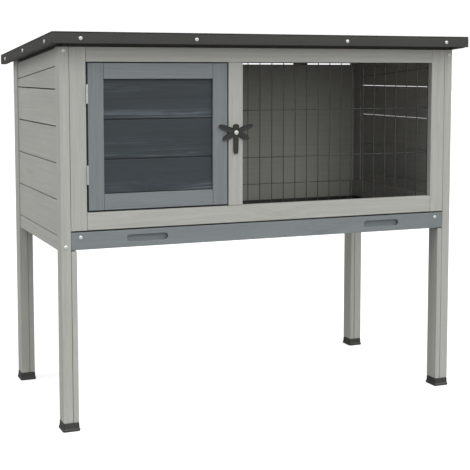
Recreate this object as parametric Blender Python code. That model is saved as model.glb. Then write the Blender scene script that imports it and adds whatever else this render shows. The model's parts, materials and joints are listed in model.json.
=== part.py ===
"""Raised wooden rabbit hutch, single storey.

A box of painted boards on four legs: a framed front with a hinged boarded
door on the left and a wire window on the right, plank side walls, a plain
back panel, a pent roof hinged at the back, and a shallow tray that pulls
out at the front under the floor line.

Frame: metres, +Z up, front towards -Y, +X to the right of someone facing
the front.  The origin is on the ground under the middle of the roof.
"""

import math

import bmesh
import bpy
from mathutils import Matrix, Vector

# --------------------------------------------------------------------------
# Driving dimensions (metres)
# --------------------------------------------------------------------------
GAP = 0.0003            # clearance kept between touching pieces

BODY_W = 0.830          # across the outer faces of the posts
BODY_D = 0.4125         # front face of the front posts to back face of the back posts
ROOF_W = 0.8692
ROOF_D = 0.478
ROOF_H_FRONT = 0.7362   # top of the felt at the front edge
ROOF_H_BACK = 0.7006    # top of the felt at the back edge
FELT_T = 0.002
DECK_T = 0.009
FASCIA_T = 0.012
FASCIA_Z_FRONT = 0.7145
FASCIA_Z_BACK = 0.6801

FRONT = -0.2095         # plane of the hutch's front face
BACK = FRONT + BODY_D

POST_W = 0.018          # outer board of each leg, along X
POST_D = 0.0342         # along Y
LEG_BOARD_W = 0.0107    # inner board of each leg, along X
FOOT_H = 0.016
FOOT_FLARE = 0.0022

SIDE_RECESS = 0.003     # side boards sit back from the posts' outer faces
SIDE_BOARD_T = 0.012
SIDE_RAIL_T = 0.015
SIDE_RAIL_BOTTOM = 0.3335
SIDE_SEAM_0 = 0.3608    # top of the bottom side rail
SIDE_PITCH = 0.0679     # height of one side board with its gap
SIDE_GAP = 0.0016       # open slit between two side boards
SIDE_TOP_RAIL_H = 0.0448

FRAME_T = 0.014         # thickness of the front frame and of the door
STILE_W = 0.0305
SILL_BOTTOM = 0.3740
SILL_TOP = 0.4075
HEAD_BOTTOM = 0.6825
MID_STILE_X0 = -0.0866
MID_STILE_X1 = -0.0570

DOOR_X0 = -0.3627
DOOR_X1 = -0.0891
DOOR_Z0 = 0.4098
DOOR_Z1 = 0.6808
DOOR_STILE_W = 0.0295
DOOR_TOP_RAIL_H = 0.0294
DOOR_BOTTOM_RAIL_H = 0.0302
DOOR_BOARD_RECESS = 0.0045
DOOR_BOARD_T = 0.008
DOOR_SEAMS = (0.5036, 0.5769)
DOOR_SEAM_GAP = 0.0008

HINGE_L = 0.035
HINGE_Z = (0.4761, 0.6241)      # middles of the two door hinges
HINGE_X = -0.3646
HINGE_Y = FRONT - 0.0012
KNUCKLE_R = 0.0020
PIN_R = 0.0009
LEAF_T = 0.0009

MESH_PITCH_X = 0.02539
MESH_X0 = -0.0398 - MESH_PITCH_X
MESH_COUNT = 18
MESH_Z = (0.4047, 0.4973, 0.5898, 0.6824)
WIRE = 0.0016
MESH_STUB = 0.008

LATCH_X = -0.0719
LATCH_Z = 0.5481
LATCH_T = 0.0026
LATCH_Y = FRONT - 0.0005        # back face of the latch

RUNNER_T = 0.011
RUNNER_TOP = 0.405
RUNNER_BOTTOM = 0.3373
GROOVE_Z0 = 0.3635
GROOVE_Z1 = 0.3695
GROOVE_D = 0.007

BACK_PANEL_Y0 = FRONT + 0.3860
BACK_PANEL_T = 0.012
BACK_PANEL_Z0 = 0.3380
BACK_PANEL_Z1 = 0.6777
BACK_RAIL_Z0 = 0.6400

TRAY_Z0 = 0.3390
TRAY_Z1 = 0.3736
PULL_X = 0.2505
PULL_W = 0.081
PULL_Z0 = 0.3491
PULL_Z1 = 0.3620
PULL_DEPTH = 0.007
PAN_Z0 = 0.3430
PAN_Z1 = 0.3680
PAN_WALL = 0.0025
PAN_X = 0.3850
PAN_FLANGE_X = 0.3922
PAN_Y1 = FRONT + 0.3800

ROOF_HINGE_X = 0.2640
ROOF_HINGE_Y = FRONT + 0.4152
ROOF_HINGE_DROP = 0.0027        # hinge axis below the deck's underside

# --------------------------------------------------------------------------
# Roof plane
# --------------------------------------------------------------------------
ROOF_Y0 = -ROOF_D / 2
ROOF_Y1 = ROOF_D / 2
SLOPE = (ROOF_H_FRONT - ROOF_H_BACK) / ROOF_D
ROOF_ANGLE = math.atan(SLOPE)


def roof_top(y):
    return ROOF_H_FRONT - SLOPE * (y - ROOF_Y0)


def deck_top(y):
    return roof_top(y) - FELT_T - GAP


def deck_bottom(y):
    return deck_top(y) - DECK_T


def under_roof(y):
    """Highest point of anything the roof rests over."""
    return deck_bottom(y) - GAP


def fascia_bottom(y):
    return FASCIA_Z_FRONT + (FASCIA_Z_BACK - FASCIA_Z_FRONT) * (y - ROOF_Y0) / ROOF_D


# --------------------------------------------------------------------------
# Scene and materials
# --------------------------------------------------------------------------
for old in list(bpy.data.objects):
    bpy.data.objects.remove(old, do_unlink=True)

SCENE = bpy.context.scene.collection

FINISHES = {
    "body": ((0.38, 0.38, 0.36), 0.62, 0.0),
    "trim": ((0.17, 0.20, 0.22), 0.60, 0.0),
    "slate": ((0.050, 0.060, 0.070), 0.65, 0.0),
    "roof": ((0.065, 0.066, 0.062), 0.70, 0.0),
    "felt": ((0.050, 0.051, 0.050), 0.95, 0.0),
    "plastic": ((0.040, 0.040, 0.038), 0.45, 0.0),
    "zinc": ((0.62, 0.63, 0.64), 0.30, 1.0),
    "wire": ((0.10, 0.10, 0.10), 0.45, 0.6),
    "dark_metal": ((0.035, 0.035, 0.033), 0.50, 0.5),
}


def material(name, finish):
    colour, rough, metal = FINISHES[finish]
    mat = bpy.data.materials.new(name + "_" + finish)
    mat.use_nodes = True
    shader = mat.node_tree.nodes["Principled BSDF"]
    shader.inputs["Base Color"].default_value = (*colour, 1.0)
    shader.inputs["Roughness"].default_value = rough
    shader.inputs["Metallic"].default_value = metal
    mat.diffuse_color = (*colour, 1.0)
    return mat


def group(name, at):
    """An empty that carries the pieces of one body; on a moving body it is on the joint's axis."""
    empty = bpy.data.objects.new(name, None)
    empty.empty_display_size = 0.03
    empty.location = at
    SCENE.objects.link(empty)
    return empty


CARCASS = group("carcass", (0.0, 0.0, 0.0))
DOOR = group("door_axis", (HINGE_X, HINGE_Y, (DOOR_Z0 + DOOR_Z1) / 2))
LATCH = group("latch_axis", (LATCH_X, LATCH_Y, LATCH_Z))
TRAY = group("tray_axis", (0.0, FRONT, (TRAY_Z0 + TRAY_Z1) / 2))
ROOF_HINGE_Z = deck_bottom(ROOF_HINGE_Y) - ROOF_HINGE_DROP
ROOF = group("roof_axis", (0.0, ROOF_HINGE_Y, ROOF_HINGE_Z))


def place(name, bm, finish, parent, smooth=False):
    """Turns a bmesh in world coordinates into an object whose origin is its own middle."""
    bmesh.ops.remove_doubles(bm, verts=bm.verts, dist=1e-7)
    bmesh.ops.recalc_face_normals(bm, faces=bm.faces)
    lo = Vector([min(v.co[i] for v in bm.verts) for i in range(3)])
    hi = Vector([max(v.co[i] for v in bm.verts) for i in range(3)])
    middle = (lo + hi) / 2
    bmesh.ops.translate(bm, verts=bm.verts, vec=-middle)
    mesh = bpy.data.meshes.new(name)
    bm.to_mesh(mesh)
    bm.free()
    mesh.materials.append(material(name, finish))
    if smooth:
        mesh.shade_smooth()
        mesh.set_sharp_from_angle(angle=math.radians(35))
    obj = bpy.data.objects.new(name, mesh)
    SCENE.objects.link(obj)
    obj.parent = parent
    obj.location = middle - parent.location
    return obj


# --------------------------------------------------------------------------
# Shapes
# --------------------------------------------------------------------------
def add_box(bm, x0, x1, y0, y1, z0, z1):
    made = bmesh.ops.create_cube(bm, size=1.0)["verts"]
    size = Vector((x1 - x0, y1 - y0, z1 - z0))
    middle = Vector((x0 + x1, y0 + y1, z0 + z1)) / 2
    for v in made:
        v.co = Vector([v.co[i] * size[i] + middle[i] for i in range(3)])
    return made


def extrude_outline(bm, points, axis, low, high):
    """A closed prism: an outline in the plane across the axis, swept from low to high."""
    def at(p, s):
        if axis == "x":
            return (s, p[0], p[1])
        if axis == "y":
            return (p[0], s, p[1])
        return (p[0], p[1], s)

    first = [bm.verts.new(at(p, low)) for p in points]
    last = [bm.verts.new(at(p, high)) for p in points]
    n = len(points)
    bm.faces.new(first)
    bm.faces.new(list(reversed(last)))
    for i in range(n):
        j = (i + 1) % n
        bm.faces.new((first[i], first[j], last[j], last[i]))
    return first + last


def box(name, x, y, z, finish, parent=CARCASS):
    bm = bmesh.new()
    add_box(bm, min(x), max(x), min(y), max(y), z[0], z[1])
    return place(name, bm, finish, parent)


def prism(name, points, axis, low, high, finish, parent=CARCASS, smooth=False):
    bm = bmesh.new()
    extrude_outline(bm, points, axis, min(low, high), max(low, high))
    return place(name, bm, finish, parent, smooth)


def side_x(side, a, b):
    """Two distances in from the post's outer face, on the left (-1) or right (+1)."""
    return (side * (BODY_W / 2 - a), side * (BODY_W / 2 - b))


def cutter(name, bm):
    mesh = bpy.data.meshes.new(name)
    bmesh.ops.recalc_face_normals(bm, faces=bm.faces)
    bm.to_mesh(mesh)
    bm.free()
    obj = bpy.data.objects.new(name, mesh)
    SCENE.objects.link(obj)
    obj.hide_render = True
    obj.display_type = "WIRE"
    return obj


def boolean(obj, tool, operation):
    mod = obj.modifiers.new(operation.lower() + "_" + tool.name, "BOOLEAN")
    mod.operation = operation
    mod.object = tool
    mod.solver = "EXACT"
    return mod


def cylinder(bm, radius, z0, z1, segments, x=0.0, y=0.0):
    ring = [(x + radius * math.cos(2 * math.pi * i / segments),
             y + radius * math.sin(2 * math.pi * i / segments)) for i in range(segments)]
    return extrude_outline(bm, ring, "z", z0, z1)


# --------------------------------------------------------------------------
# Legs: a tall outer board, a short inner board and a foot under the pair
# --------------------------------------------------------------------------
def foot(name, x0, x1, y0, y1):
    rings = ((0.0, FOOT_FLARE - 0.0007), (0.0007, FOOT_FLARE), (0.0042, FOOT_FLARE),
             (0.0052, 0.0008), (FOOT_H, 0.0002))
    bm = bmesh.new()
    layers = []
    for z, out in rings:
        layers.append([bm.verts.new(p) for p in (
            (x0 - out, y0 - out, z), (x1 + out, y0 - out, z),
            (x1 + out, y1 + out, z), (x0 - out, y1 + out, z))])
    bm.faces.new(list(reversed(layers[0])))
    bm.faces.new(layers[-1])
    for a, b in zip(layers, layers[1:]):
        for i in range(4):
            j = (i + 1) % 4
            bm.faces.new((a[i], a[j], b[j], b[i]))
    return place(name, bm, "plastic", CARCASS)


for side, side_name in ((-1, "left"), (1, "right")):
    for end_name, y0, y1 in (("front", FRONT, FRONT + POST_D), ("back", BACK - POST_D, BACK)):
        tag = end_name + "_" + side_name
        x_out = side_x(side, 0.0, POST_W)
        prism("post_" + tag,
              [(y0, FOOT_H + GAP), (y1, FOOT_H + GAP), (y1, under_roof(y1)), (y0, under_roof(y0))],
              "x", *x_out, "body")
        x_in = side_x(side, POST_W + GAP, POST_W + GAP + LEG_BOARD_W)
        box("leg_board_" + tag, x_in, (y0, y1), (FOOT_H + GAP, RUNNER_BOTTOM - GAP), "body")
        xs = side_x(side, 0.0, POST_W + GAP + LEG_BOARD_W)
        foot("foot_" + tag, min(xs), max(xs), y0, y1)

# --------------------------------------------------------------------------
# Side walls: rails and planks between the posts
# --------------------------------------------------------------------------
SIDE_Y0 = FRONT + POST_D + GAP
SIDE_Y1 = BACK - POST_D - GAP


def top_rail_bottom(y):
    return deck_bottom(y) - SIDE_TOP_RAIL_H


for side, side_name in ((-1, "left"), (1, "right")):
    rail_x = side_x(side, SIDE_RECESS, SIDE_RECESS + SIDE_RAIL_T)
    board_x = side_x(side, SIDE_RECESS, SIDE_RECESS + SIDE_BOARD_T)
    ys = (SIDE_Y0, SIDE_Y1)
    box("side_bottom_rail_" + side_name, rail_x, ys,
        (SIDE_RAIL_BOTTOM, SIDE_SEAM_0 - SIDE_GAP / 2), "body")
    prism("side_top_rail_" + side_name,
          [(SIDE_Y0, top_rail_bottom(SIDE_Y0) + SIDE_GAP / 2),
           (SIDE_Y1, top_rail_bottom(SIDE_Y1) + SIDE_GAP / 2),
           (SIDE_Y1, under_roof(SIDE_Y1)), (SIDE_Y0, under_roof(SIDE_Y0))],
          "x", *rail_x, "body")
    for i in range(4):
        z0 = SIDE_SEAM_0 + SIDE_PITCH * i
        box("side_board_%s_%d" % (side_name, i + 1), board_x, ys,
            (z0 + SIDE_GAP / 2, z0 + SIDE_PITCH - SIDE_GAP / 2), "body")
    z0 = SIDE_SEAM_0 + SIDE_PITCH * 4 + SIDE_GAP / 2
    prism("side_board_%s_5" % side_name,
          [(SIDE_Y0, z0), (SIDE_Y1, z0),
           (SIDE_Y1, top_rail_bottom(SIDE_Y1) - SIDE_GAP / 2),
           (SIDE_Y0, top_rail_bottom(SIDE_Y0) - SIDE_GAP / 2)],
          "x", *board_x, "body")

# Grooved runners inside the side walls, on top of the inner leg boards.
for side, side_name in ((-1, "left"), (1, "right")):
    a = POST_W + GAP
    face = side * (BODY_W / 2 - a)
    inner = side * (BODY_W / 2 - a - RUNNER_T)
    deep = side * (BODY_W / 2 - a - RUNNER_T + GROOVE_D)
    prism("tray_runner_" + side_name,
          [(face, RUNNER_BOTTOM), (inner, RUNNER_BOTTOM), (inner, GROOVE_Z0), (deep, GROOVE_Z0),
           (deep, GROOVE_Z1), (inner, GROOVE_Z1), (inner, RUNNER_TOP), (face, RUNNER_TOP)],
          "y", FRONT + FRAME_T + 2 * GAP, BACK_PANEL_Y0 - GAP, "body")

# --------------------------------------------------------------------------
# Back wall
# --------------------------------------------------------------------------
IN_X = BODY_W / 2 - POST_W - GAP        # half the clear width between posts
box("back_panel", (-IN_X, IN_X), (BACK_PANEL_Y0, BACK_PANEL_Y0 + BACK_PANEL_T),
    (BACK_PANEL_Z0, BACK_PANEL_Z1), "body")
box("back_top_rail", (-IN_X, IN_X), (BACK_PANEL_Y0 + BACK_PANEL_T + GAP, BACK - 2 * GAP / 3),
    (BACK_RAIL_Z0, BACK_PANEL_Z1), "body")

# --------------------------------------------------------------------------
# Front frame
# --------------------------------------------------------------------------
F0, F1 = FRONT, FRONT + FRAME_T
for side, side_name in ((-1, "left"), (1, "right")):
    xs = (side * IN_X, side * (IN_X - STILE_W))
    prism("front_stile_" + side_name,
          [(F0, SILL_BOTTOM), (F1, SILL_BOTTOM), (F1, under_roof(F1)), (F0, under_roof(F0))],
          "x", *xs, "body")
RAIL_X = IN_X - STILE_W - GAP
box("front_bottom_rail", (-RAIL_X, RAIL_X), (F0, F1), (SILL_BOTTOM, SILL_TOP), "body")
prism("front_top_rail",
      [(F0, HEAD_BOTTOM), (F1, HEAD_BOTTOM), (F1, under_roof(F1)), (F0, under_roof(F0))],
      "x", -RAIL_X, RAIL_X, "body")
box("front_stile_centre", (MID_STILE_X0, MID_STILE_X1), (F0, F1),
    (SILL_TOP + GAP, HEAD_BOTTOM - GAP), "body")


# --------------------------------------------------------------------------
# Wire window: one welded sheet behind the frame
# --------------------------------------------------------------------------
def wire_mesh():
    half = WIRE / 2
    xs, x_wire = [], []
    for i in range(MESH_COUNT):
        c = MESH_X0 + i * MESH_PITCH_X
        xs += [c - half, c + half]
        x_wire += [True, False]
    zs, z_wire = [MESH_Z[0] - MESH_STUB], [False]
    for c in MESH_Z:
        zs += [c - half, c + half]
        z_wire += [True, False]
    zs.append(MESH_Z[-1] + MESH_STUB)
    y0 = F1 + GAP
    bm = bmesh.new()
    grid = {}

    def vert(i, j):
        if (i, j) not in grid:
            grid[(i, j)] = bm.verts.new((xs[i], y0, zs[j]))
        return grid[(i, j)]

    for i in range(len(xs) - 1):
        for j in range(len(zs) - 1):
            if x_wire[i] or z_wire[j]:
                bm.faces.new((vert(i, j), vert(i + 1, j), vert(i + 1, j + 1), vert(i, j + 1)))
    out = bmesh.ops.extrude_face_region(bm, geom=list(bm.faces))
    moved = [g for g in out["geom"] if isinstance(g, bmesh.types.BMVert)]
    bmesh.ops.translate(bm, verts=moved, vec=(0, WIRE, 0))
    return place("window_mesh", bm, "wire", CARCASS)


wire_mesh()

# --------------------------------------------------------------------------
# Door
# --------------------------------------------------------------------------
box("door_stile_hinge_side", (DOOR_X0, DOOR_X0 + DOOR_STILE_W), (F0, F1), (DOOR_Z0, DOOR_Z1), "trim", DOOR)
box("door_stile_latch_side", (DOOR_X1 - DOOR_STILE_W, DOOR_X1), (F0, F1), (DOOR_Z0, DOOR_Z1), "trim", DOOR)
dx0, dx1 = DOOR_X0 + DOOR_STILE_W + GAP, DOOR_X1 - DOOR_STILE_W - GAP
box("door_rail_top", (dx0, dx1), (F0, F1), (DOOR_Z1 - DOOR_TOP_RAIL_H, DOOR_Z1), "trim", DOOR)
box("door_rail_bottom", (dx0, dx1), (F0, F1), (DOOR_Z0, DOOR_Z0 + DOOR_BOTTOM_RAIL_H), "trim", DOOR)
edges = (DOOR_Z0 + DOOR_BOTTOM_RAIL_H + GAP - DOOR_SEAM_GAP / 2,) + DOOR_SEAMS + (
    DOOR_Z1 - DOOR_TOP_RAIL_H - GAP + DOOR_SEAM_GAP / 2,)
for i in range(3):
    box("door_board_%d" % (i + 1), (dx0, dx1),
        (F0 + DOOR_BOARD_RECESS, F0 + DOOR_BOARD_RECESS + DOOR_BOARD_T),
        (edges[i] + DOOR_SEAM_GAP / 2, edges[i + 1] - DOOR_SEAM_GAP / 2), "slate", DOOR)


def butt_hinge(prefix, along, axis_point, length, knuckle_r, pin_r, fixed_plate, moving_plate,
               turn, fixed_name, moving_name, moving_parent):
    """A butt hinge in its own frame: the pin runs along local z and is centred on it.

    Each plate is (x0, x1, y0, y1) across the pin.  The outer knuckles and the pin belong to
    the fixed leaf, the middle knuckle to the moving one.
    """
    third = length / 3
    made = []
    for name, plate, parts, bore, parent, twist in (
            (fixed_name, fixed_plate, ((-length / 2, -third / 2), (third / 2, length / 2)), None,
             CARCASS, 0.0),
            (moving_name, moving_plate, ((-third / 2 + GAP, third / 2 - GAP),), pin_r + 0.0003,
             moving_parent, turn)):
        bm = bmesh.new()
        if bore is None:
            cylinder(bm, pin_r, -length / 2, length / 2, 12)
            lumps = [parts[0], parts[1]]
        else:
            lumps = list(parts)
        frame = Matrix.Translation(axis_point) @ along @ Matrix.Rotation(twist, 4, "Z")
        tools = []
        for lo, hi in lumps:
            knuckle = bmesh.new()
            cylinder(knuckle, knuckle_r, lo, hi, 20)
            tools.append(("UNION", knuckle))
        leaf = bmesh.new()
        x0, x1, y0, y1 = plate
        if bore is None:
            # the leaf is notched round the moving knuckle
            notch = knuckle_r + 0.0006
            if x1 - x0 < y1 - y0:
                far, near = (y0, y1) if abs(y0) < abs(y1) else (y1, y0)
                sign = 1.0 if near > far else -1.0
                cut = sign * notch
                add_box(leaf, x0, x1, *sorted((cut, near)), -length / 2, length / 2)
                for lo, hi in lumps:
                    tab = bmesh.new()
                    add_box(tab, x0, x1, *sorted((far, cut + sign * 0.0002)), lo, hi)
                    tools.append(("UNION", tab))
            tools.insert(0, ("UNION", leaf))
        else:
            far, near = (y0, y1) if abs(y0) < abs(y1) else (y1, y0)
            sign = 1.0 if near > far else -1.0
            cut = sign * (knuckle_r + 0.0006)
            add_box(leaf, x0, x1, *sorted((cut, near)), -length / 2, length / 2)
            tab = bmesh.new()
            add_box(tab, x0, x1, *sorted((far, cut + sign * 0.0002)), lumps[0][0], lumps[0][1])
            base = leaf
            hole = bmesh.new()
            cylinder(hole, bore, -length, length, 12)
            tools = [("UNION", tab)] + tools + [("DIFFERENCE", hole)]
            bm.free()
            bm = base
        bmesh.ops.recalc_face_normals(bm, faces=bm.faces)
        mesh = bpy.data.meshes.new(name)
        bm.to_mesh(mesh)
        bm.free()
        mesh.materials.append(material(name, "zinc"))
        obj = bpy.data.objects.new(name, mesh)
        SCENE.objects.link(obj)
        obj.parent = parent
        obj.matrix_local = Matrix.Translation(-parent.location) @ frame
        for k, (operation, tool_bm) in enumerate(tools):
            tool = cutter("%s_tool_%d" % (name, k), tool_bm)
            tool.matrix_world = frame
            boolean(obj, tool, operation)
        made.append(obj)
    return made


# Door hinges stand in the gap beside the door: pin vertical, leaves reaching back along +Y.
for z, level in zip(HINGE_Z, ("lower", "upper")):
    gap_left = -IN_X + STILE_W - HINGE_X + GAP
    gap_right = DOOR_X0 - HINGE_X - GAP
    butt_hinge("door", Matrix.Identity(4), Vector((HINGE_X, HINGE_Y, z)), HINGE_L, KNUCKLE_R, PIN_R,
               (gap_left, gap_left + LEAF_T, 0.0008, 0.0135),
               (gap_right - LEAF_T, gap_right, 0.0008, 0.0135),
               0.0, "door_hinge_%s_frame_leaf" % level, "door_hinge_%s_door_leaf" % level, DOOR)

# Roof hinges: pin along X behind the back rail; one leaf hangs down the rail, the other lies
# against the underside of the roof deck.
for side, side_name in ((-1, "left"), (1, "right")):
    # local z -> world X, local y -> world -Z, local x -> world -Y; the roof leaf is turned so
    # that its plate lies up against the deck and reaches back
    basis = Matrix(((0, 0, 1, 0), (-1, 0, 0, 0), (0, -1, 0, 0), (0, 0, 0, 1)))
    at = Vector((side * ROOF_HINGE_X, ROOF_HINGE_Y, ROOF_HINGE_Z))
    back_face = ROOF_HINGE_Y - (BACK - 2 * GAP / 3) - GAP
    up = ROOF_HINGE_DROP * math.cos(ROOF_ANGLE) - GAP
    turn = -(math.radians(90) + ROOF_ANGLE)
    butt_hinge("roof", basis, at, HINGE_L, 0.0023, 0.0010,
               (back_face - 0.0010, back_face, 0.0008, 0.0260),
               (up - 0.0010, up, -0.0260, -0.0008),
               turn, "roof_hinge_%s_wall_leaf" % side_name, "roof_hinge_%s_roof_leaf" % side_name,
               ROOF)


# --------------------------------------------------------------------------
# Turn-button latch: a small winged plate on one screw
# --------------------------------------------------------------------------
def lobe(cx, cz, long_r, short_r, angle, segments=20, power=2.4):
    """A rounded oval outline in the XZ plane, turned by an angle."""
    points = []
    ca, sa = math.cos(angle), math.sin(angle)
    for i in range(segments):
        t = 2 * math.pi * i / segments
        c, s = math.cos(t), math.sin(t)
        u = long_r * math.copysign(abs(c) ** (2 / power), c)
        w = short_r * math.copysign(abs(s) ** (2 / power), s)
        points.append((cx + u * ca - w * sa, cz + u * sa + w * ca))
    return points


def latch():
    deg = math.radians
    outlines = [
        lobe(0.0175, 0.0075, 0.0185, 0.0052, deg(20)),
        lobe(-0.0175, 0.0075, 0.0185, 0.0052, deg(160)),
        lobe(0.0130, -0.0060, 0.0155, 0.0060, deg(-28)),
        lobe(-0.0130, -0.0060, 0.0155, 0.0060, deg(208)),
        lobe(0.0, 0.0105, 0.0062, 0.0060, 0.0),
        lobe(0.0, -0.0180, 0.0232, 0.0050, deg(90), power=4.0),
    ]
    y1 = LATCH_Y
    y0 = LATCH_Y - LATCH_T
    bm = bmesh.new()
    body = lobe(0.0, 0.0, 0.0085, 0.0085, 0.0, 24, 2.0)
    extrude_outline(bm, [(LATCH_X + p[0], LATCH_Z + p[1]) for p in body], "y", y0, y1)
    obj = place("latch", bm, "dark_metal", LATCH)
    for k, outline in enumerate(outlines):
        tool_bm = bmesh.new()
        extrude_outline(tool_bm, [(LATCH_X + p[0], LATCH_Z + p[1]) for p in outline], "y", y0, y1)
        boolean(obj, cutter("latch_tool_%d" % k, tool_bm), "UNION")
    hole = bmesh.new()
    extrude_outline(hole, [(LATCH_X + p[0], LATCH_Z + p[1]) for p in lobe(0, 0, 0.0024, 0.0024, 0, 16, 2.0)],
                    "y", y0 - 0.01, y1 + 0.01)
    boolean(obj, cutter("latch_tool_hole", hole), "DIFFERENCE")
    return obj


latch()


def latch_screw():
    """Pan-head screw: a domed head over the latch and a short shank through its hole."""
    head_r, head_h, shank_r = 0.0043, 0.0022, 0.0020
    top = LATCH_Y - LATCH_T - GAP
    profile = [(0.0, FRONT - GAP / 2), (shank_r, FRONT - GAP / 2), (shank_r, top),
               (head_r, top), (head_r, top - 0.0006)]
    for i in range(1, 5):
        a = math.radians(90 * i / 4)
        profile.append((head_r * math.cos(a) if i < 4 else 0.0,
                        top - 0.0006 - (head_h - 0.0006) * math.sin(a)))
    bm = bmesh.new()
    n = 20
    rings = []
    for r, y in profile:
        if r == 0.0:
            rings.append([bm.verts.new((LATCH_X, y, LATCH_Z))])
        else:
            rings.append([bm.verts.new((LATCH_X + r * math.cos(2 * math.pi * k / n), y,
                                        LATCH_Z + r * math.sin(2 * math.pi * k / n)))
                          for k in range(n)])
    for a, b in zip(rings, rings[1:]):
        for k in range(n):
            m = (k + 1) % n
            if len(a) == 1:
                bm.faces.new((a[0], b[k], b[m]))
            elif len(b) == 1:
                bm.faces.new((a[k], b[0], a[m]))
            else:
                bm.faces.new((a[k], b[k], b[m], a[m]))
    return place("latch_screw", bm, "zinc", CARCASS, smooth=True)


latch_screw()

# --------------------------------------------------------------------------
# Pull-out tray: a front board with two finger pulls, and a shallow pan
# --------------------------------------------------------------------------
tray_board = box("tray_front_board", (-IN_X, IN_X), (F0, F1), (TRAY_Z0, TRAY_Z1), "trim", TRAY)
for side, side_name in ((-1, "left"), (1, "right")):
    r = (PULL_Z1 - PULL_Z0) / 2
    zc = (PULL_Z0 + PULL_Z1) / 2
    outline = []
    for end in (1, -1):
        cx = side * PULL_X + end * (PULL_W / 2 - r)
        for i in range(9):
            a = math.radians(-90 + 180 * i / 8) if end == 1 else math.radians(90 + 180 * i / 8)
            outline.append((cx + r * math.cos(a), zc + r * math.sin(a)))
    cut = bmesh.new()
    extrude_outline(cut, outline, "y", F0 - 0.01, F0 + PULL_DEPTH)
    boolean(tray_board, cutter("pull_cutter_" + side_name, cut), "DIFFERENCE")

pan_y0 = F1 + GAP
pan = box("tray_pan", (-PAN_X, PAN_X), (pan_y0, PAN_Y1), (PAN_Z0, PAN_Z1), "plastic", TRAY)
flange = bmesh.new()
add_box(flange, -PAN_FLANGE_X, PAN_FLANGE_X, pan_y0, PAN_Y1, PAN_Z1 - PAN_WALL, PAN_Z1)
boolean(pan, cutter("pan_flange", flange), "UNION")
hollow = bmesh.new()
add_box(hollow, -PAN_X + PAN_WALL, PAN_X - PAN_WALL, pan_y0 + PAN_WALL, PAN_Y1 - PAN_WALL,
        PAN_Z0 + PAN_WALL, PAN_Z1 + 0.01)
boolean(pan, cutter("pan_hollow", hollow), "DIFFERENCE")

# --------------------------------------------------------------------------
# Roof: deck, felt and fascia boards
# --------------------------------------------------------------------------
inner_y0 = ROOF_Y0 + FASCIA_T + GAP
deck_x = ROOF_W / 2 - FASCIA_T - GAP
prism("roof_deck",
      [(inner_y0, deck_bottom(inner_y0)), (ROOF_Y1, deck_bottom(ROOF_Y1)),
       (ROOF_Y1, deck_top(ROOF_Y1)), (inner_y0, deck_top(inner_y0))],
      "x", -deck_x, deck_x, "roof", ROOF)
prism("roof_felt",
      [(ROOF_Y0, roof_top(ROOF_Y0) - FELT_T), (ROOF_Y1, roof_top(ROOF_Y1) - FELT_T),
       (ROOF_Y1, roof_top(ROOF_Y1)), (ROOF_Y0, roof_top(ROOF_Y0))],
      "x", -ROOF_W / 2, ROOF_W / 2, "felt", ROOF)
fy1 = ROOF_Y0 + FASCIA_T
prism("roof_fascia_front",
      [(ROOF_Y0, FASCIA_Z_FRONT), (fy1, FASCIA_Z_FRONT), (fy1, deck_top(fy1)), (ROOF_Y0, deck_top(ROOF_Y0))],
      "x", -ROOF_W / 2, ROOF_W / 2, "roof", ROOF)
for side, side_name in ((-1, "left"), (1, "right")):
    prism("roof_fascia_" + side_name,
          [(inner_y0, fascia_bottom(inner_y0)), (ROOF_Y1, fascia_bottom(ROOF_Y1)),
           (ROOF_Y1, deck_top(ROOF_Y1)), (inner_y0, deck_top(inner_y0))],
          "x", side * (ROOF_W / 2 - FASCIA_T), side * ROOF_W / 2, "roof", ROOF)
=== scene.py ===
"""Looks of the raised wooden rabbit hutch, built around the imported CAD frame.

Every board is a rounded copy of its CAD solid with a grain direction of its own, the wire
window is welded round wire, and the tray, feet, felt, latch and screws are modelled here.
"""
import json
import math
import zlib

import bmesh
import bpy
import numpy as np
from mathutils import Matrix, Vector, noise


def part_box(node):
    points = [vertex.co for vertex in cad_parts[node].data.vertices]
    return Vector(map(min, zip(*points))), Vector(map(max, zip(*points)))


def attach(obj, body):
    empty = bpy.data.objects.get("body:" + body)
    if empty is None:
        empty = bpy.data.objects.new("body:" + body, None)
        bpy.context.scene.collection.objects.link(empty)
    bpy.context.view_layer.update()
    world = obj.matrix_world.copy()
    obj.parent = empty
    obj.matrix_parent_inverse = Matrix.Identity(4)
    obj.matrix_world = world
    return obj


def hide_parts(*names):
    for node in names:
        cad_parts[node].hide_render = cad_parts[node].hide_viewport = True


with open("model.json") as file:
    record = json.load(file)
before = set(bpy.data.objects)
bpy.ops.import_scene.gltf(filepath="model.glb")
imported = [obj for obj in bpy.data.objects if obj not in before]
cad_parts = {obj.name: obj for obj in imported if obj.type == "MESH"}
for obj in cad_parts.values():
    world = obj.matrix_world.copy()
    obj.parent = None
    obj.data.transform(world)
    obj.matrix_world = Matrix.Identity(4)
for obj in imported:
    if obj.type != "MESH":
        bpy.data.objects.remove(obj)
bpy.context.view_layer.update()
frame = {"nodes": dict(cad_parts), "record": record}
NODES = frame["nodes"]
BODY_OF = {n: b for b, names in frame["record"]["behaviour"]["bodies"].items() for n in names}

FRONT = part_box("front_bottom_rail")[0].y        # plane of the front face
ROOF_LO, ROOF_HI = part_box("roof_felt")


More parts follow.
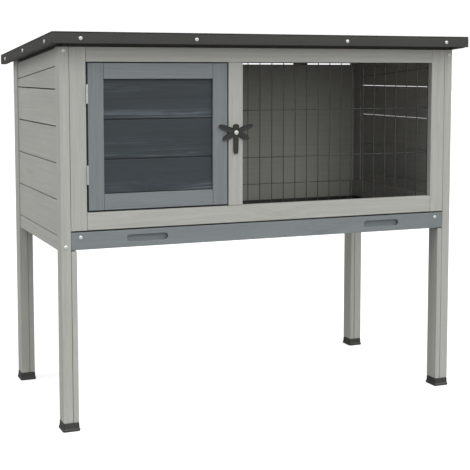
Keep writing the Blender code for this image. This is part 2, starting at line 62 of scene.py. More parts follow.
# --------------------------------------------------------------------------
# Node graphs
# --------------------------------------------------------------------------
class Graph:
    """A material whose nodes are added one call at a time."""

    def __init__(self, name, rough=0.6, metallic=0.0, spec=0.5):
        self.mat = bpy.data.materials.new(name)
        self.mat.use_nodes = True
        self.tree = self.mat.node_tree
        self.tree.nodes.clear()
        self.out = self.tree.nodes.new("ShaderNodeOutputMaterial")
        self.shader = self.tree.nodes.new("ShaderNodeBsdfPrincipled")
        self.tree.links.new(self.shader.outputs["BSDF"], self.out.inputs["Surface"])
        self.shader.inputs["Roughness"].default_value = rough
        self.shader.inputs["Metallic"].default_value = metallic
        self.shader.inputs["Specular IOR Level"].default_value = spec
        self._attributes = {}

    def _feed(self, socket, value):
        if isinstance(value, bpy.types.NodeSocket):
            self.tree.links.new(value, socket)
        elif value is not None:
            socket.default_value = value

    def attribute(self, name, output="Fac"):
        if name not in self._attributes:
            node = self.tree.nodes.new("ShaderNodeAttribute")
            node.attribute_name = name
            self._attributes[name] = node
        return self._attributes[name].outputs[output]

    def math(self, operation, a, b=None, c=None, clamp=False):
        node = self.tree.nodes.new("ShaderNodeMath")
        node.operation = operation
        node.use_clamp = clamp
        for i, value in enumerate((a, b, c)):
            self._feed(node.inputs[i], value)
        return node.outputs[0]

    def vector(self, operation, a, b=None, scale=None):
        node = self.tree.nodes.new("ShaderNodeVectorMath")
        node.operation = operation
        self._feed(node.inputs[0], a)
        if b is not None:
            self._feed(node.inputs[1], b)
        if scale is not None:
            self._feed(node.inputs["Scale"], scale)
        return node.outputs[0]

    def combine(self, x, y, z):
        node = self.tree.nodes.new("ShaderNodeCombineXYZ")
        for i, value in enumerate((x, y, z)):
            self._feed(node.inputs[i], value)
        return node.outputs[0]

    def noise(self, co, stretch, detail=2.0, rough=0.5, distortion=0.0):
        node = self.tree.nodes.new("ShaderNodeTexNoise")
        node.inputs["Scale"].default_value = 1.0
        node.inputs["Detail"].default_value = detail
        node.inputs["Roughness"].default_value = rough
        node.inputs["Distortion"].default_value = distortion
        self._feed(node.inputs["Vector"], self.vector("MULTIPLY", co, tuple(stretch)))
        return node.outputs["Fac"]

    def cells(self, co, stretch, feature="F1", output="Distance", randomness=1.0):
        node = self.tree.nodes.new("ShaderNodeTexVoronoi")
        node.feature = feature
        node.inputs["Scale"].default_value = 1.0
        node.inputs["Randomness"].default_value = randomness
        self._feed(node.inputs["Vector"], self.vector("MULTIPLY", co, tuple(stretch)))
        return node.outputs[output]

    def remap(self, value, a, b, c=0.0, d=1.0, smooth=False):
        node = self.tree.nodes.new("ShaderNodeMapRange")
        node.interpolation_type = "SMOOTHSTEP" if smooth else "LINEAR"
        node.clamp = True
        for i, v in enumerate((value, a, b, c, d)):
            self._feed(node.inputs[i], v)
        return node.outputs[0]

    def mix(self, factor, a, b):
        node = self.tree.nodes.new("ShaderNodeMix")
        node.data_type = "RGBA"
        self._feed(node.inputs[0], factor)
        for socket, value in ((node.inputs[6], a), (node.inputs[7], b)):
            if isinstance(value, tuple):
                socket.default_value = (*value, 1.0)
            else:
                self.tree.links.new(value, socket)
        return node.outputs[2]

    def sum(self, base, *terms):
        """base + the sum of weight * (signal - middle)."""
        total = base
        for signal, weight, middle in terms:
            total = self.math("MULTIPLY_ADD", self.math("SUBTRACT", signal, middle), weight, total)
        return total

    def tint(self, colour, value):
        """The colour, brightened or darkened by a signal around 1."""
        if isinstance(colour, tuple):
            node = self.tree.nodes.new("ShaderNodeRGB")
            node.outputs[0].default_value = (*colour, 1.0)
            colour = node.outputs[0]
        return self.vector("SCALE", colour, scale=value)

    def bump(self, height, distance, strength=1.0, normal=None):
        node = self.tree.nodes.new("ShaderNodeBump")
        node.inputs["Strength"].default_value = strength
        node.inputs["Distance"].default_value = distance
        self._feed(node.inputs["Height"], height)
        if normal is not None:
            self.tree.links.new(normal, node.inputs["Normal"])
        return node.outputs["Normal"]

    def done(self, colour=None, rough=None, normal=None):
        if colour is not None:
            self._feed(self.shader.inputs["Base Color"], colour)
        if rough is not None:
            self._feed(self.shader.inputs["Roughness"], rough)
        if normal is not None:
            self._feed(self.shader.inputs["Normal"], normal)
        return self.mat


def painted_wood(name, colour, fine=0.10, hair=0.16, band=0.12, patch=0.08, board=0.05,
                 scrape=0.0, scrape_colour=(0.3, 0.3, 0.3), wear=0.25, wear_colour=(0.5, 0.46, 0.4),
                 warm=(1.0, 1.0, 1.0), rough=0.62, relief=1.0, knots=0.5):
    """Planed softwood under a thin coat of paint: the grain reads through in tone and relief.

    The "gco" attribute runs along the grain first, then across it, in metres.
    """
    g = Graph(name, rough=rough, spec=0.35)
    co = g.attribute("gco", "Vector")
    tone = g.attribute("tone")
    rim = g.attribute("edge")

    # the grain drifts off a straight line, and bends round the odd knot
    drift = g.noise(co, (2.4, 7, 7), 2.0)
    wander = g.math("MULTIPLY", g.math("SUBTRACT", drift, 0.5), 0.022)
    knot_d = g.cells(co, (3.1, 9.5, 9.5))
    near = g.remap(knot_d, 0.0, 0.30, 1.0, 0.0, smooth=True)
    push = g.math("MULTIPLY", near, 0.010)
    shift = g.math("ADD", wander, push)
    wood = g.vector("ADD", co, g.combine(0.0, shift, shift))

    n_fine = g.noise(wood, (17, 1150, 1150), 3.0, 0.6)
    n_hair = g.noise(wood, (5.0, 330, 330), 4.0, 0.62)
    n_band = g.noise(wood, (1.4, 58, 58), 3.0, 0.5)
    n_patch = g.noise(co, (5.5, 11, 11), 3.0, 0.55)
    pores = g.remap(g.noise(wood, (70, 2300, 2300), 1.0), 0.64, 0.74)

    # flat-sawn figure: growth rings cut at a slant
    rings = g.tree.nodes.new("ShaderNodeTexWave")
    rings.wave_type = "RINGS"
    rings.rings_direction = "X"
    rings.inputs["Scale"].default_value = 1.0
    rings.inputs["Distortion"].default_value = 2.6
    rings.inputs["Detail"].default_value = 2.0
    rings.inputs["Detail Scale"].default_value = 0.6
    g.tree.links.new(g.vector("MULTIPLY", wood, (0.9, 26, 26)), rings.inputs["Vector"])
    figure = rings.outputs["Fac"]

    knot = g.remap(knot_d, 0.028, 0.058, 1.0, 0.0, smooth=True)
    halo = g.remap(knot_d, 0.05, 0.16, 1.0, 0.0, smooth=True)

    value = g.sum(1.0, (n_fine, fine * 2.2, 0.5), (n_hair, hair * 2.2, 0.5),
                  (n_band, band * 2.0, 0.5), (n_patch, patch * 2.0, 0.5),
                  (figure, 0.035, 0.5), (tone, board, 0.0), (pores, -0.10, 0.0),
                  (knot, -0.16 * knots, 0.0), (halo, -0.07 * knots, 0.0))
    shade = g.tint(colour, value)
    thin = g.remap(g.noise(wood, (3.2, 190, 190), 3.0, 0.6), 0.52, 0.74)
    toned = tuple(c * w for c, w in zip(colour, warm))
    shade = g.mix(g.math("MULTIPLY", thin, 0.55), shade, g.tint(toned, value))
    if scrape:
        # brush marks where the paint lies thin along the raised grain
        where = g.remap(g.noise(wood, (2.6, 34, 34), 3.0, 0.55), 0.50, 0.68)
        lines = g.remap(g.noise(wood, (6.5, 520, 520), 3.0, 0.6), 0.50, 0.68)
        shade = g.mix(g.math("MULTIPLY", g.math("MULTIPLY", where, lines), scrape), shade,
                      scrape_colour)
        # and where it was wiped thin along the joints
        wiped = g.math("MULTIPLY", g.attribute("near"),
                       g.remap(g.noise(wood, (4.0, 260, 260), 3.0, 0.6), 0.44, 0.62))
        gaps = g.remap(g.noise(co, (9, 14, 14), 2.0, 0.5), 0.46, 0.62)
        shade = g.mix(g.math("MULTIPLY", g.math("MULTIPLY", wiped, gaps), 0.62), shade,
                      tuple(c * 1.25 for c in scrape_colour))
    # the coat is thinner on the rounded arrises
    rub = g.math("MULTIPLY", rim, g.remap(g.noise(co, (38, 90, 90), 3.0, 0.6), 0.42, 0.66))
    shade = g.mix(g.math("MULTIPLY", rub, wear), shade, wear_colour)

    height = g.sum(0.5, (n_fine, 0.55, 0.5), (n_hair, 0.90, 0.5), (n_band, 0.8, 0.5),
                   (figure, 0.10, 0.5), (pores, -0.45, 0.0), (knot, 0.25 * knots, 0.0))
    normal = g.bump(height, 0.00016 * relief)
    gloss = g.sum(rough, (n_band, 0.22, 0.5), (n_hair, 0.14, 0.5), (rub, 0.12, 0.0))
    return g.done(shade, g.math("MINIMUM", gloss, 0.95), normal)


def moulded_plastic(name, colour, rough=0.45, grain=0.00003, scuffs=0.35):
    """Injection or vacuum moulded plastic with a fine spark-eroded grain and a few scuffs."""
    g = Graph(name, rough=rough, spec=0.5)
    co = g.attribute("gco", "Vector")
    rim = g.attribute("edge")
    pebble = g.cells(co, (1500, 1500, 1500))
    soft = g.noise(co, (420, 420, 420), 3.0)
    cloud = g.noise(co, (14, 14, 14), 3.0, 0.55)
    scuff = g.remap(g.noise(co, (22, 480, 300), 3.0, 0.65), 0.58, 0.74)
    value = g.sum(1.0, (cloud, 0.30, 0.5), (soft, 0.12, 0.5), (pebble, -0.12, 0.5), (rim, 0.16, 0.0))
    shade = g.mix(g.math("MULTIPLY", scuff, 0.10 * scuffs), g.tint(colour, value), (0.30, 0.30, 0.29))
    normal = g.bump(g.sum(0.5, (pebble, 0.7, 0.5), (soft, 0.9, 0.5)), grain)
    gloss = g.sum(rough, (cloud, 0.30, 0.5), (scuff, 0.25 * scuffs, 0.0), (pebble, 0.10, 0.5))
    return g.done(shade, gloss, normal)


def plated_metal(name, colour, metallic, rough, spangle=0.10, brushed=0.00001):
    """Zinc plate: soft spangle, a light polish grain and duller patches."""
    g = Graph(name, rough=rough, metallic=metallic)
    co = g.attribute("gco", "Vector")
    rim = g.attribute("edge")
    flakes = g.cells(co, (260, 260, 260), output="Color")
    grey = g.tree.nodes.new("ShaderNodeRGBToBW")
    g.tree.links.new(flakes, grey.inputs[0])
    lines = g.noise(co, (60, 2400, 900), 2.0)
    cloud = g.noise(co, (120, 120, 120), 3.0)
    value = g.sum(1.0, (grey.outputs[0], spangle, 0.5), (cloud, 0.22, 0.5), (lines, 0.08, 0.5),
                  (rim, 0.05, 0.0))
    gloss = g.sum(rough, (cloud, 0.35, 0.5), (lines, 0.14, 0.5))
    return g.done(g.tint(colour, value), gloss, g.bump(g.sum(0.5, (lines, 0.8, 0.5), (cloud, 0.8, 0.5)), brushed))


def powder_coat(name, colour, rough=0.42, metallic=0.0):
    """Thick powder coat with an orange-peel surface, a little thinner on its edges."""
    g = Graph(name, rough=rough, metallic=metallic, spec=0.5)
    co = g.attribute("gco", "Vector")
    rim = g.attribute("edge")
    peel = g.noise(co, (900, 900, 900), 2.0)
    speck = g.cells(co, (2200, 2200, 2200))
    cloud = g.noise(co, (45, 45, 45), 3.0)
    chip = g.math("MULTIPLY", rim, g.remap(g.noise(co, (600, 600, 600), 3.0), 0.60, 0.70))
    value = g.sum(1.0, (cloud, 0.35, 0.5), (peel, 0.15, 0.5), (speck, -0.15, 0.5))
    shade = g.mix(g.math("MULTIPLY", chip, 0.35), g.tint(colour, value), (0.22, 0.22, 0.21))
    gloss = g.sum(rough, (cloud, 0.25, 0.5), (peel, 0.15, 0.5), (chip, 0.15, 0.0))
    return g.done(shade, gloss, g.bump(g.sum(0.5, (peel, 1.0, 0.5), (speck, 0.25, 0.5)), 0.00004))


def mineral_felt(name, dark, light):
    """Bitumen roofing felt faced with mineral granules, worn and dusted in soft patches."""
    g = Graph(name, rough=0.93, spec=0.25)
    co = g.attribute("gco", "Vector")
    rim = g.attribute("edge")
    grains = g.cells(co, (820, 820, 820))
    tones = g.cells(co, (820, 820, 820), output="Color")
    grey = g.tree.nodes.new("ShaderNodeRGBToBW")
    g.tree.links.new(tones, grey.inputs[0])
    small = g.noise(co, (1700, 1700, 1700), 2.0)
    cloud = g.noise(co, (9, 6, 9), 4.0, 0.6)
    streak = g.noise(co, (70, 5, 70), 3.0, 0.6)
    mixing = g.sum(0.30, (grey.outputs[0], 1.05, 0.5), (cloud, 0.85, 0.5), (streak, 0.35, 0.5))
    shade = g.mix(g.math("MULTIPLY", mixing, 1.0, clamp=True), dark, light)
    spark = g.remap(grey.outputs[0], 0.70, 0.80)
    shade = g.mix(g.math("MULTIPLY", spark, 0.45), shade, (0.22, 0.22, 0.215))
    shade = g.mix(g.math("MULTIPLY", rim, 0.35), shade, (0.035, 0.035, 0.034))
    height = g.sum(0.5, (grains, -1.0, 0.5), (small, 0.5, 0.5), (cloud, 2.2, 0.5))
    gloss = g.sum(0.90, (grey.outputs[0], -0.20, 0.5))
    return g.done(shade, gloss, g.bump(height, 0.00030))


WOOD = {
    "body": painted_wood("painted_wood_pale_grey", (0.412, 0.414, 0.386), fine=0.11, hair=0.16,
                         band=0.07, patch=0.06, board=0.022, warm=(1.04, 1.00, 0.93),
                         wear=0.30, wear_colour=(0.50, 0.49, 0.45), rough=0.60, relief=0.9),
    "trim": painted_wood("painted_wood_blue_grey", (0.194, 0.215, 0.223), fine=0.12, hair=0.17,
                         band=0.10, patch=0.08, board=0.03, warm=(1.05, 1.02, 0.98),
                         wear=0.28, wear_colour=(0.34, 0.35, 0.35), rough=0.58, relief=0.9),
    "slate": painted_wood("painted_wood_slate", (0.0325, 0.0412, 0.0480), fine=0.14, hair=0.24,
                          band=0.22, patch=0.14, board=0.05, scrape=0.40,
                          scrape_colour=(0.125, 0.148, 0.165), warm=(0.96, 1.02, 1.06),
                          wear=0.30, wear_colour=(0.12, 0.13, 0.14), rough=0.60, relief=1.5,
                          knots=0.9),
    "roof": painted_wood("painted_wood_charcoal", (0.0455, 0.0455, 0.0412), fine=0.10, hair=0.15,
                         band=0.09, patch=0.10, board=0.02, warm=(1.03, 1.0, 0.96),
                         wear=0.35, wear_colour=(0.13, 0.13, 0.12), rough=0.62, relief=0.8),
    # a darker grey for the back panel: painted shade standing in for the dimmer light inside the hutch
    "inner": painted_wood("painted_wood_grey_painted_shade_inside", (0.372, 0.376, 0.342), fine=0.085, hair=0.12,
                          band=0.07, patch=0.06, board=0.022, warm=(1.04, 1.00, 0.93),
                          wear=0.30, wear_colour=(0.42, 0.41, 0.38), rough=0.66, relief=1.0),
    "raw": painted_wood("bare_fir_ply", (0.47, 0.36, 0.235), fine=0.14, hair=0.18, band=0.18,
                        patch=0.12, board=0.04, warm=(1.04, 0.98, 0.90), wear=0.2,
                        wear_colour=(0.56, 0.45, 0.31), rough=0.66, relief=1.1, knots=1.6),
}
FOOT_PLASTIC = moulded_plastic("foot_black_plastic", (0.033, 0.034, 0.029), rough=0.52)
TRAY_PLASTIC = moulded_plastic("tray_black_plastic", (0.030, 0.030, 0.027), rough=0.42, scuffs=0.9)
ZINC = plated_metal("zinc_plate", (0.70, 0.71, 0.71), 1.0, 0.34)
SCREW = plated_metal("bright_screw", (0.72, 0.73, 0.72), 0.35, 0.32, spangle=0.03)
COAT = powder_coat("latch_black_coat", (0.0150, 0.0165, 0.0140), rough=0.52)
WIRE_COAT = powder_coat("wire_grey_coat", (0.036, 0.037, 0.034), rough=0.48)
FELT = mineral_felt("mineral_felt", (0.030, 0.030, 0.029), (0.100, 0.100, 0.096))


# --------------------------------------------------------------------------
# Mesh helpers
# --------------------------------------------------------------------------
def seed_of(name):
    return zlib.crc32(name.encode()) & 0xFFFFFFFF


def from_node(name):
    """The CAD node's solid again as whole flat faces."""
    bm = bmesh.new()
    bm.from_mesh(NODES[name].data)
    for layer in list(bm.verts.layers.float):
        bm.verts.layers.float.remove(layer)
    bmesh.ops.remove_doubles(bm, verts=bm.verts, dist=2e-6)
    bmesh.ops.dissolve_limit(bm, angle_limit=math.radians(0.5), verts=bm.verts, edges=bm.edges)
    bmesh.ops.recalc_face_normals(bm, faces=bm.faces)
    return bm


def block(bm, x0, x1, y0, y1, z0, z1):
    made = bmesh.ops.create_cube(bm, size=1.0)["verts"]
    for v in made:
        v.co = Vector((x0 + (v.co.x + 0.5) * (x1 - x0), y0 + (v.co.y + 0.5) * (y1 - y0),
                       z0 + (v.co.z + 0.5) * (z1 - z0)))
    return made


def round_over(bm, width, segments=3, limit=35.0):
    """Rounds every outer edge sharper than limit, and notes the rounded strip in "edge"."""
    layer = bm.verts.layers.float.get("edge") or bm.verts.layers.float.new("edge")
    edges = [e for e in bm.edges if len(e.link_faces) == 2 and e.is_convex
             and e.calc_face_angle(0.0) > math.radians(limit)]
    if not edges:
        return
    made = bmesh.ops.bevel(bm, geom=edges, offset=width, offset_type="OFFSET", segments=segments,
                           profile=0.5, affect="EDGES", clamp_overlap=True)
    strip = set(made["faces"])
    for v in bm.verts:
        faces = v.link_faces
        v[layer] = 1.0 if faces and all(f in strip for f in faces) else 0.0


def settle(bm, name, grain, extra=None):
    """Stores the grain coordinates and the board's own tone on the mesh's points."""
    seed = seed_of(name)
    offset = Vector(((seed % 977) * 0.0113, (seed // 977 % 883) * 0.0071, (seed // 862691 % 797) * 0.0057))
    tone = ((seed >> 7) % 2001) / 1000.0 - 1.0
    gco = bm.verts.layers.float_vector.new("gco")
    tones = bm.verts.layers.float.new("tone")
    if bm.verts.layers.float.get("edge") is None:
        bm.verts.layers.float.new("edge")
    first, second, third = {"x": (0, 2, 1), "y": (1, 2, 0), "z": (2, 0, 1)}[grain]
    for v in bm.verts:
        v[gco] = Vector((v.co[first], v.co[second], v.co[third])) + offset
        v[tones] = tone


def finish_mesh(bm, name, material, body, nodes=(), grain="x", smooth=50.0, weighted=True):
    settle(bm, name, grain)
    mesh = bpy.data.meshes.new(name)
    bm.to_mesh(mesh)
    bm.free()
    mesh.materials.append(material)
    mesh.shade_smooth()
    mesh.set_sharp_from_angle(angle=math.radians(smooth))
    obj = bpy.data.objects.new(name, mesh)
    bpy.context.scene.collection.objects.link(obj)
    if weighted:
        mod = obj.modifiers.new("weighted", "WEIGHTED_NORMAL")
        mod.mode = "FACE_AREA"
        mod.weight = 90
        mod.keep_sharp = True
    if nodes:
        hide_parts(*nodes)
    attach(obj, body)
    return obj


def slice_along(bm, axis, step):
    """Cuts a long piece across at even steps, so that its surface can move."""
    values = [v.co[axis] for v in bm.verts]
    lo, hi = min(values), max(values)
    count = max(1, int(round((hi - lo) / step)))
    normal = Vector((0, 0, 0))
    normal[axis] = 1.0
    for i in range(1, count):
        at = Vector((0, 0, 0))
        at[axis] = lo + (hi - lo) * i / count
        bmesh.ops.bisect_plane(bm, geom=list(bm.verts) + list(bm.edges) + list(bm.faces),
                               plane_co=at, plane_no=normal, dist=1e-6)


def hand_planed(bm, name, grain, amount):
    """Moves the faces a hair in and out, as planed softwood boards really are."""
    axis = "xyz".index(grain)
    seed = Vector(((seed_of(name) % 911) * 0.37, (seed_of(name) % 577) * 0.53, (seed_of(name) % 331) * 0.71))
    lo = Vector([min(v.co[i] for v in bm.verts) for i in range(3)])
    hi = Vector([max(v.co[i] for v in bm.verts) for i in range(3)])
    for v in bm.verts:
        move = Vector((0, 0, 0))
        for i in range(3):
            if i == axis:
                continue
            p = Vector(v.co)
            p[axis] *= 9.0
            p[i] = 0.0
            n = 0.5 + 0.5 * noise.noise(p * 1.6 + seed * (i + 1))
            middle = (lo[i] + hi[i]) / 2
            move[i] = -n * amount * (1 if v.co[i] > middle else -1)
        v.co += move


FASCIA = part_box("roof_fascia_front")[0].z


def wall_top(y, where):
    """The height at which the walls end, just clear of the roof that closes over them."""
    if where == "front":
        return FASCIA - 0.0048
    side_lo, side_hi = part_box("roof_fascia_left")
    t = (y - ROOF_LO.y) / (ROOF_HI.y - ROOF_LO.y)
    level = FASCIA + t * (side_lo.z - FASCIA)
    return level + 0.0046 if where == "back" else min(FASCIA - 0.0048, level - 0.0018)


def board(name, wood, grain, width=0.0012, segments=3, planed=0.00022, slot=None, grow=(0.0, 0.0),
          strips=0, short=None):
    """A board with rounded arrises; grow moves its lower and upper edge out by a hair, strips
    cuts its face along the grain so that it can carry the paint's tone near its edges, and
    short ends it under the roof."""
    bm = from_node(name)
    if short:
        for v in bm.verts:
            v.co.z = min(v.co.z, wall_top(v.co.y, short))
    low, high = min(v.co.z for v in bm.verts), max(v.co.z for v in bm.verts)
    if any(grow):
        for v in bm.verts:
            if v.co.z < low + 1e-5:
                v.co.z -= grow[0]
            elif v.co.z > high - 1e-5:
                v.co.z += grow[1]
    slice_along(bm, "xyz".index(grain), 0.045)
    if strips:
        slice_along(bm, 2, (high - low) / strips)
    hand_planed(bm, name, grain, planed)
    round_over(bm, width, segments)
    if strips:
        near = bm.verts.layers.float.new("near")
        for v in bm.verts:
            v[near] = math.exp(-(((v.co.z - low) - 0.0075) / 0.0065) ** 2)
    return finish_mesh(bm, name + "_board" if not name.endswith("board") else name + "_wood",
                       WOOD[wood], BODY_OF[name], (name,), grain)


# --------------------------------------------------------------------------
# Boards
# --------------------------------------------------------------------------
for end in ("front", "back"):
    for side in ("left", "right"):
        board("post_%s_%s" % (end, side), "body", "z", 0.0011, short=end)
        board("leg_board_%s_%s" % (end, side), "body", "z", 0.0010)
for side in ("left", "right"):
    for i in range(1, 6):
        board("side_board_%s_%d" % (side, i), "body", "y", 0.00045, planed=0.0,
              grow=(-0.0003, -0.0003) if side == "left" else (0.00018 if i > 2 else 0.0,
                                                              0.00018 if i > 1 else 0.0))
    board("side_bottom_rail_" + side, "body", "y", 0.0009)
    board("side_top_rail_" + side, "body", "y", 0.0006, planed=0.0001, short="side")
    board("front_stile_" + side, "body", "z", 0.0007, short="front")
    board("tray_runner_" + side, "body", "y", 0.0008)
    board("roof_fascia_" + side, "roof", "y", 0.0012)
board("front_stile_centre", "body", "z", 0.0006)
board("front_bottom_rail", "body", "x", 0.0006, grow=(-0.0003, -0.0004))
board("front_top_rail", "body", "x", 0.0006, short="front")
board("back_top_rail", "body", "x", 0.0010)
for n in ("hinge", "latch"):
    board("door_stile_%s_side" % n, "trim", "z", 0.0006, grow=(-0.0005, -0.0002))
board("door_rail_top", "trim", "x", 0.0006, grow=(0.0, -0.0002))
board("door_rail_bottom", "trim", "x", 0.0006, grow=(-0.0005, 0.0))
for i in (1, 2, 3):
    board("door_board_%d" % i, "slate", "x", 0.0009, planed=0.00030, strips=20,
          grow=(-0.0003, -0.0003))
board("roof_fascia_front", "roof", "x", 0.0012)


def tray_board():
    """The pull-out tray's front board: its two finger pulls keep the CAD outline."""
    bm = from_node("tray_front_board")
    top = max(v.co.z for v in bm.verts)
    for v in bm.verts:
        if v.co.z > top - 1e-5:
            v.co.z -= 0.0022        # an open joint under the sill, so that the tray slides freely
    round_over(bm, 0.0007, 3)
    return finish_mesh(bm, "tray_board", WOOD["trim"], "tray", ("tray_front_board",), "x")


tray_board()


def back_wall():
    """Back panel as two boards with a fine joint, seen through the window low on the wall."""
    lo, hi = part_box("back_panel")
    for name, z0, z1 in (("back_panel_lower", lo.z, 0.4036), ("back_panel_upper", 0.4044, hi.z + 0.0035)):
        bm = bmesh.new()
        block(bm, lo.x, hi.x, lo.y, hi.y, z0, z1)
        slice_along(bm, 0, 0.06)
        hand_planed(bm, name, "x", 0.00018)
        round_over(bm, 0.0008, 3)
        # the back panel takes the darker grey: painted shade for the inside of the hutch
        finish_mesh(bm, name, WOOD["inner"], "carcass", ("back_panel",), "x")
    # upright battens in the back corners, which the side boards are fixed to
    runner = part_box("tray_runner_right")
    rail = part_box("side_board_right_3")
    for side in (-1, 1):
        bm = bmesh.new()
        block(bm, *sorted((side * (rail[0].x - 0.0034), side * (rail[0].x - 0.0004))),
              lo.y - 0.0300, lo.y - 0.0004, runner[1].z + 0.0006, 0.6790)
        slice_along(bm, 2, 0.06)
        hand_planed(bm, "batten%d" % side, "z", 0.0002)
        round_over(bm, 0.0008, 3)
        finish_mesh(bm, "corner_batten_" + ("left" if side < 0 else "right"), WOOD["body"], "carcass",
                    grain="z")


back_wall()


def laps_and_stops():
    """Tongues inside the side walls' tight joints (the two upper ones have shrunk open), and the stops on the
    frame's inner face that the door closes against, painted the door boards' dark slate as painted shade in the gaps
    round the door."""
    for side in ("left", "right"):
        sign = 1 if side == "right" else -1
        board_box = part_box("side_board_%s_5" % side)
        inner, outer = sorted((abs(board_box[0].x), abs(board_box[1].x)))
        y0, y1 = board_box[0].y + 0.0006, board_box[1].y - 0.0006
        rail = NODES["side_top_rail_" + side].data
        slope = [min(v.co.z for v in rail.vertices if abs(v.co.y - y) < 1e-4)
                 for y in (board_box[0].y, board_box[1].y)]
        seams = [(slope[0] - 0.0008, slope[1] - 0.0008)]
        for i in (1, 2, 3):
            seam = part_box("side_board_%s_%d" % (side, i))[0].z - 0.0008
            seams.append((seam, seam))
        bm = bmesh.new()
        for ends in seams:
            a = [bm.verts.new((sign * x, y, z + dz)) for x in (inner + 0.0040, outer - 0.0040)
                 for y, z in zip((y0, y1), ends) for dz in (-0.0011, 0.0011)]
            for quad in ((0, 1, 3, 2), (4, 6, 7, 5), (0, 4, 5, 1), (2, 3, 7, 6), (1, 5, 7, 3),
                         (0, 2, 6, 4)):
                bm.faces.new([a[i] for i in quad])
        bmesh.ops.recalc_face_normals(bm, faces=bm.faces)
        slice_along(bm, 1, 0.05)
        round_over(bm, 0.0003, 2)
        finish_mesh(bm, "side_tongues_" + side, WOOD["body"], "carcass", grain="y")
    boards = sorted((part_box("door_board_%d" % i) for i in (1, 2, 3)), key=lambda box: box[0].z)
    bm = bmesh.new()
    for below, above in zip(boards, boards[1:]):
        mid = (below[0].y + below[1].y) / 2
        block(bm, below[0].x + 0.0006, below[1].x - 0.0006, mid - 0.0012, mid + 0.0012,
              below[1].z - 0.0014, above[0].z + 0.0014)
    slice_along(bm, 0, 0.05)
    round_over(bm, 0.0003, 2)
    finish_mesh(bm, "door_tongues", WOOD["slate"], "door", grain="x")
    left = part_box("front_stile_left")
    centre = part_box("front_stile_centre")
    sill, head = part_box("front_bottom_rail"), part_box("front_top_rail")
    y0 = sill[1].y + 0.0004
    y1 = y0 + 0.0060
    # the stops are painted dark slate: painted shade where they show through the gaps round the door
    for name, x0, x1, z0, z1, grain in (
            ("head", left[1].x - 0.004, centre[0].x + 0.004, head[0].z - 0.0060, head[0].z + 0.0100, "x"),
            ("sill", left[1].x - 0.004, centre[0].x + 0.004, sill[1].z - 0.0100, sill[1].z + 0.0060, "x"),
            ("hinge", left[1].x - 0.010, left[1].x + 0.0075, sill[1].z + 0.0066, head[0].z - 0.0066, "z"),
            ("latch", centre[0].x - 0.0070, centre[0].x + 0.010, sill[1].z + 0.0066, head[0].z - 0.0066, "z")):
        bm = bmesh.new()
        block(bm, x0, x1, y0, y1, z0, z1)
        slice_along(bm, "xyz".index(grain), 0.05)
        round_over(bm, 0.0006, 2)
        finish_mesh(bm, "door_stop_" + name, WOOD["slate"], "carcass", grain=grain)


laps_and_stops()


# --------------------------------------------------------------------------
# Roof deck and felt
# --------------------------------------------------------------------------
def under_deck(y):
    """Height of the deck's lower face."""
    co = [v.co for v in NODES["roof_deck"].data.vertices]
    front, back = min(c.y for c in co), max(c.y for c in co)
    z0 = min(c.z for c in co if abs(c.y - front) < 1e-4)
    z1 = min(c.z for c in co if abs(c.y - back) < 1e-4)
    return z0 + (z1 - z0) * (y - front) / (back - front)


def roof_deck():
    bm = from_node("roof_deck")
    slice_along(bm, 0, 0.06)
    round_over(bm, 0.0006, 2)
    finish_mesh(bm, "roof_deck_panel", WOOD["raw"], "roof", ("roof_deck",), "x")
    # a batten under the deck's back edge, which the roof's half of each hinge is let in behind
    bm = bmesh.new()
    side = min(abs(c.x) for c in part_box("side_board_right_3")) - 0.0080
    block(bm, -side, side, 0.1500, 0.1740, 0.6841, 0.6930)
    for v in bm.verts:
        if v.co.z > 0.69:
            v.co.z = under_deck(v.co.y) - 0.0003
    slice_along(bm, 0, 0.06)
    round_over(bm, 0.0008, 3)
    finish_mesh(bm, "roof_batten", WOOD["raw"], "roof", grain="x")


def roof_felt():
    """One sheet of felt with a soft lie, turned slightly at its edges."""
    co = np.array([v.co for v in NODES["roof_felt"].data.vertices])
    y0, y1 = ROOF_LO.y, ROOF_HI.y
    front = co[np.abs(co[:, 1] - y0) < 1e-4][:, 2]
    back = co[np.abs(co[:, 1] - y1) < 1e-4][:, 2]
    thick = front.max() - front.min()
    x0, x1 = ROOF_LO.x, ROOF_HI.x
    nx, ny = 110, 62
    bm = bmesh.new()

    def top(y):
        t = (y - y0) / (y1 - y0)
        return front.max() * (1 - t) + back.max() * t

    grid = []
    for j in range(ny + 1):
        row = []
        for i in range(nx + 1):
            x = x0 + (x1 - x0) * i / nx
            y = y0 + (y1 - y0) * j / ny
            inside = min(i, nx - i, 6 * 1) * min(j, ny - j, 6 * 1) / 36.0
            lie = 0.5 + 0.5 * noise.noise(Vector((x * 7.0, y * 9.0, 3.1)))
            fine = 0.5 + 0.5 * noise.noise(Vector((x * 34.0, y * 30.0, 9.7)))
            dip = 0.00055 * lie + 0.00018 * fine
            row.append(bm.verts.new((x, y, top(y) - 0.00012 - dip * (0.35 + 0.65 * min(inside, 1.0)))))
        grid.append(row)
    for j in range(ny):
        for i in range(nx):
            bm.faces.new((grid[j][i], grid[j][i + 1], grid[j + 1][i + 1], grid[j + 1][i]))
    edge_ring = ([grid[0][i] for i in range(nx)] + [grid[j][nx] for j in range(ny)]
                 + [grid[ny][i] for i in range(nx, 0, -1)] + [grid[j][0] for j in range(ny, 0, -1)])
    low = [bm.verts.new((v.co.x, v.co.y, top(v.co.y) - thick)) for v in edge_ring]
    n = len(edge_ring)
    for k in range(n):
        m = (k + 1) % n
        bm.faces.new((edge_ring[m], edge_ring[k], low[k], low[m]))
    bm.faces.new(low)
    bmesh.ops.recalc_face_normals(bm, faces=bm.faces)
    round_over(bm, 0.0006, 2, limit=50)
    finish_mesh(bm, "roof_felt_sheet", FELT, "roof", ("roof_felt",), "y", weighted=False)


